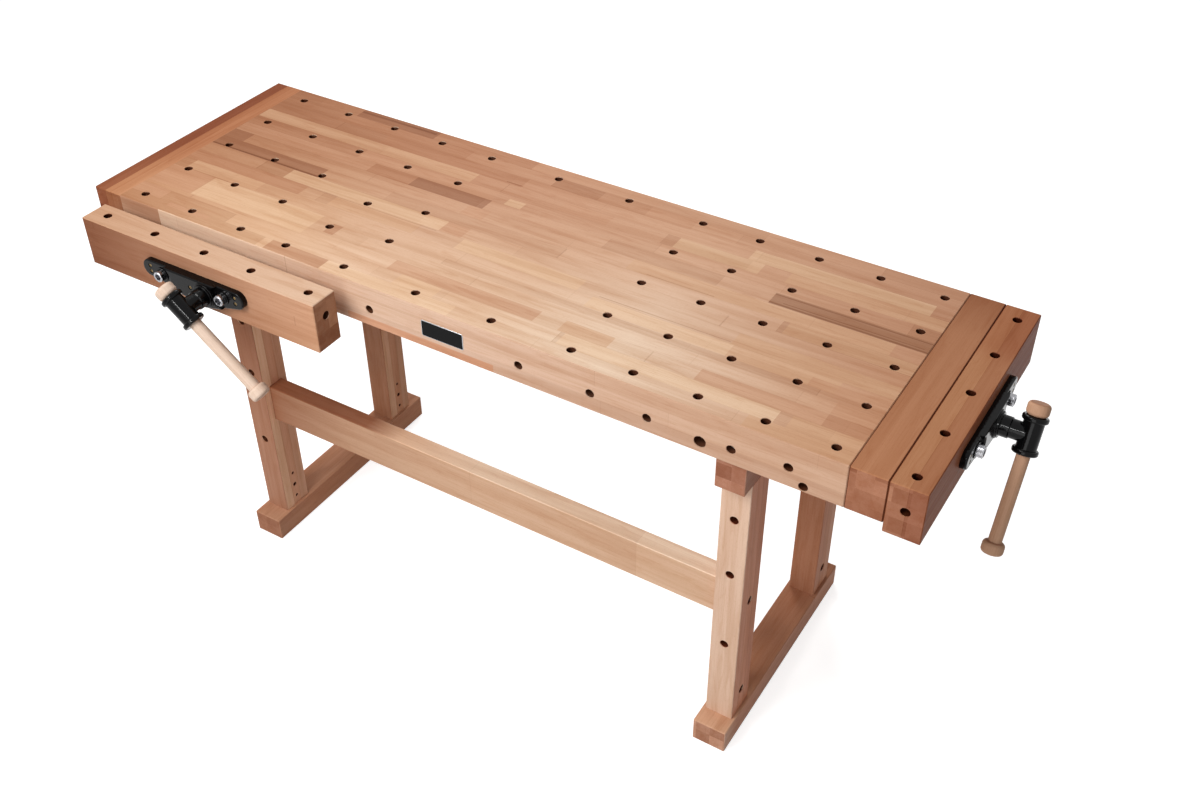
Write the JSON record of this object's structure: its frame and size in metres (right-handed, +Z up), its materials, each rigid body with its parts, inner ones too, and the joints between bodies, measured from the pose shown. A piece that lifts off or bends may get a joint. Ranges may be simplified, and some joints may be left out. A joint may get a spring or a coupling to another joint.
{
  "type": "woodworking bench",
  "caption": "Long joiner's bench on a trestle base, with round dog holes, a front vise and an end vise, each with a sliding bar handle.",
  "frame": {"origin": "on the floor, under the middle of the whole bench's outline with its vises as pictured", "axes": "+X along the bench towards the end vise, +Y from the front edge to the back, +Z up"},
  "size_m": [2.0464, 0.812, 0.9],
  "materials": {
    "beech_top": "oiled steamed beech, glued from finger-jointed staves",
    "beech_end": "oiled steamed beech, darker and redder",
    "beech_base": "oiled steamed beech, laminated",
    "beech_handle": "sanded pale beech",
    "black_iron": "glossy black enamel on a casting",
    "bright_steel": "bright ground steel",
    "zinc_steel": "zinc-plated steel",
    "chrome": "bright plated, knurled round the head",
    "brass": "yellow-plated wood screws",
    "bronze": "plain bearing bronze"
  },
  "bodies": {
    "bench": {"top_panel": "beech_top", "front_apron": "beech_top", "rear_apron": "beech_top", "left_end_cap": "beech_end", "right_end_cap": "beech_end", "end_cap_bolts": "zinc_steel", "end_cap_nuts": "zinc_steel", "left_foot": "beech_base", "left_bearer": "beech_base", "left_front_leg": "beech_base", "left_rear_leg": "beech_base", "right_foot": "beech_base", "right_bearer": "beech_base", "right_front_leg": "beech_base", "right_rear_leg": "beech_base", "front_stretcher": "beech_base", "rear_stretcher": "beech_base", "stretcher_bolts": "zinc_steel", "stretcher_nuts": "zinc_steel", "stretcher_dowels": "beech_handle", "bearer_bolts": "zinc_steel", "bearer_nuts": "zinc_steel", "front_vise_housing": "black_iron", "front_guide_bushes": "bronze", "front_vise_nut": "bronze", "front_housing_screws": "zinc_steel", "end_vise_housing": "black_iron", "end_guide_bushes": "bronze", "end_vise_nut": "bronze", "end_housing_screws": "zinc_steel"},
    "front_jaw": {"front_jaw": "beech_top", "front_vise_plate": "black_iron", "front_plate_screws": "brass", "front_guide_rods": "bright_steel", "front_rod_screws": "chrome"},
    "front_screw": {"front_screw": "bright_steel", "front_screw_head": "black_iron", "front_screw_collar": "bright_steel"},
    "front_handle": {"front_handle_bar": "beech_handle", "front_handle_upper_knob": "beech_handle", "front_handle_lower_knob": "beech_handle"},
    "end_jaw": {"end_jaw": "beech_end", "end_vise_plate": "black_iron", "end_plate_screws": "brass", "end_guide_rods": "bright_steel", "end_rod_screws": "chrome"},
    "end_screw": {"end_screw": "bright_steel", "end_screw_head": "black_iron", "end_screw_collar": "bright_steel"},
    "end_handle": {"end_handle_bar": "beech_handle", "end_handle_upper_knob": "beech_handle", "end_handle_lower_knob": "beech_handle"}
  },
  "joints": [
    {"name": "front_jaw_slide", "type": "slide", "parent": "bench", "child": "front_jaw", "axis": [0, -1, 0], "range_m": [-0.0417, 0.138]},
    {"name": "front_screw_spin", "type": "hinge", "parent": "front_jaw", "child": "front_screw", "pos_m": [-0.58735, -0.3815, 0.8365], "axis": [0, -1, 0], "range_deg": [-3002, 9930]},
    {"name": "front_handle_slide", "type": "slide", "parent": "front_screw", "child": "front_handle", "axis": [-0.7826, 0, 0.6225], "range_m": [0, 0.175]},
    {"name": "end_jaw_slide", "type": "slide", "parent": "bench", "child": "end_jaw", "axis": [1, 0, 0], "range_m": [0, 0.18]},
    {"name": "end_screw_spin", "type": "hinge", "parent": "end_jaw", "child": "end_screw", "pos_m": [0.99875, 0.1235, 0.8365], "axis": [1, 0, 0], "range_deg": [0, 12954]},
    {"name": "end_handle_slide", "type": "slide", "parent": "end_screw", "child": "end_handle", "axis": [0, 0.4226, 0.9063], "range_m": [0, 0.175]}
  ],
  "couplings": [
    {"joint": "front_jaw_slide", "follows": "front_screw_spin", "m_per_rad": 0.00079577},
    {"joint": "end_jaw_slide", "follows": "end_screw_spin", "m_per_rad": 0.00079577}
  ]
}
